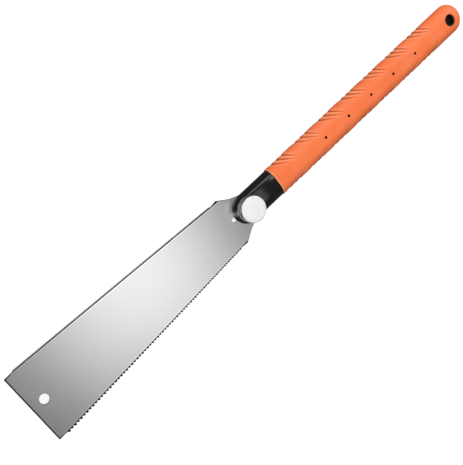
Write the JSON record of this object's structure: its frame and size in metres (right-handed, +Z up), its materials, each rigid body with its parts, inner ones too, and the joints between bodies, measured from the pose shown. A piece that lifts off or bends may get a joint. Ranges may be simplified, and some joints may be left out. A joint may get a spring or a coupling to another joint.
{
  "type": "japanese pull saw",
  "caption": "Two-edged pull saw: thin steel blade with crosscut and rip teeth, held by a knurled clamp knob in a slim handle with a ribbed rubber grip and a hang hole.",
  "frame": {"origin": "centre of the saw's bounding box at the lowest point of the grip, the surface that the saw lies on", "axes": "+X along the saw from the blade's toe to the butt of the handle, +Y across the saw to the crosscut teeth, +Z up, square to the blade, on the knob's side"},
  "size_m": [0.6259, 0.0852, 0.0308],
  "materials": {
    "blade_steel": "fine lengthwise grind, satin, hardened teeth",
    "black_plastic": "satin gloss moulded glass-filled nylon",
    "orange_rubber": "soft satin elastomer",
    "knob_metal": "bright machined, knurled side",
    "bolt_steel": "zinc plated",
    "hub_brass": "turned",
    "washer_plastic": "natural acetal"
  },
  "bodies": {
    "handle": {"core_lower": "black_plastic", "core_upper": "black_plastic", "stop_pins": "bolt_steel", "neck_screws": "bolt_steel", "core_screws": "bolt_steel", "grip_sleeve": "orange_rubber", "hang_eyelet": "black_plastic", "clamp_bolt": "bolt_steel", "guide_bush": "bolt_steel", "seat_washer": "bolt_steel"},
    "blade": {"blade": "blade_steel"},
    "washer": {"thrust_washer": "washer_plastic"},
    "knob": {"knob_insert": "hub_brass", "knob_body": "knob_metal", "knob_cap": "knob_metal"}
  },
  "joints": [
    {"name": "blade_slide", "type": "slide", "parent": "handle", "child": "blade", "axis": [-1, 0, 0], "range_m": [0, 0.044]},
    {"name": "knob_lift", "type": "slide", "parent": "handle", "child": "washer", "axis": [0, 0, 1], "range_m": [0, 0.00376]},
    {"name": "knob_turn", "type": "hinge", "parent": "washer", "child": "knob", "pos_m": [-0.0234, 0, 0.02], "axis": [0, 0, 1], "range_deg": [0, 1080]}
  ],
  "couplings": [
    {"joint": "knob_lift", "follows": "knob_turn", "m_per_rad": 0.00019894}
  ]
}
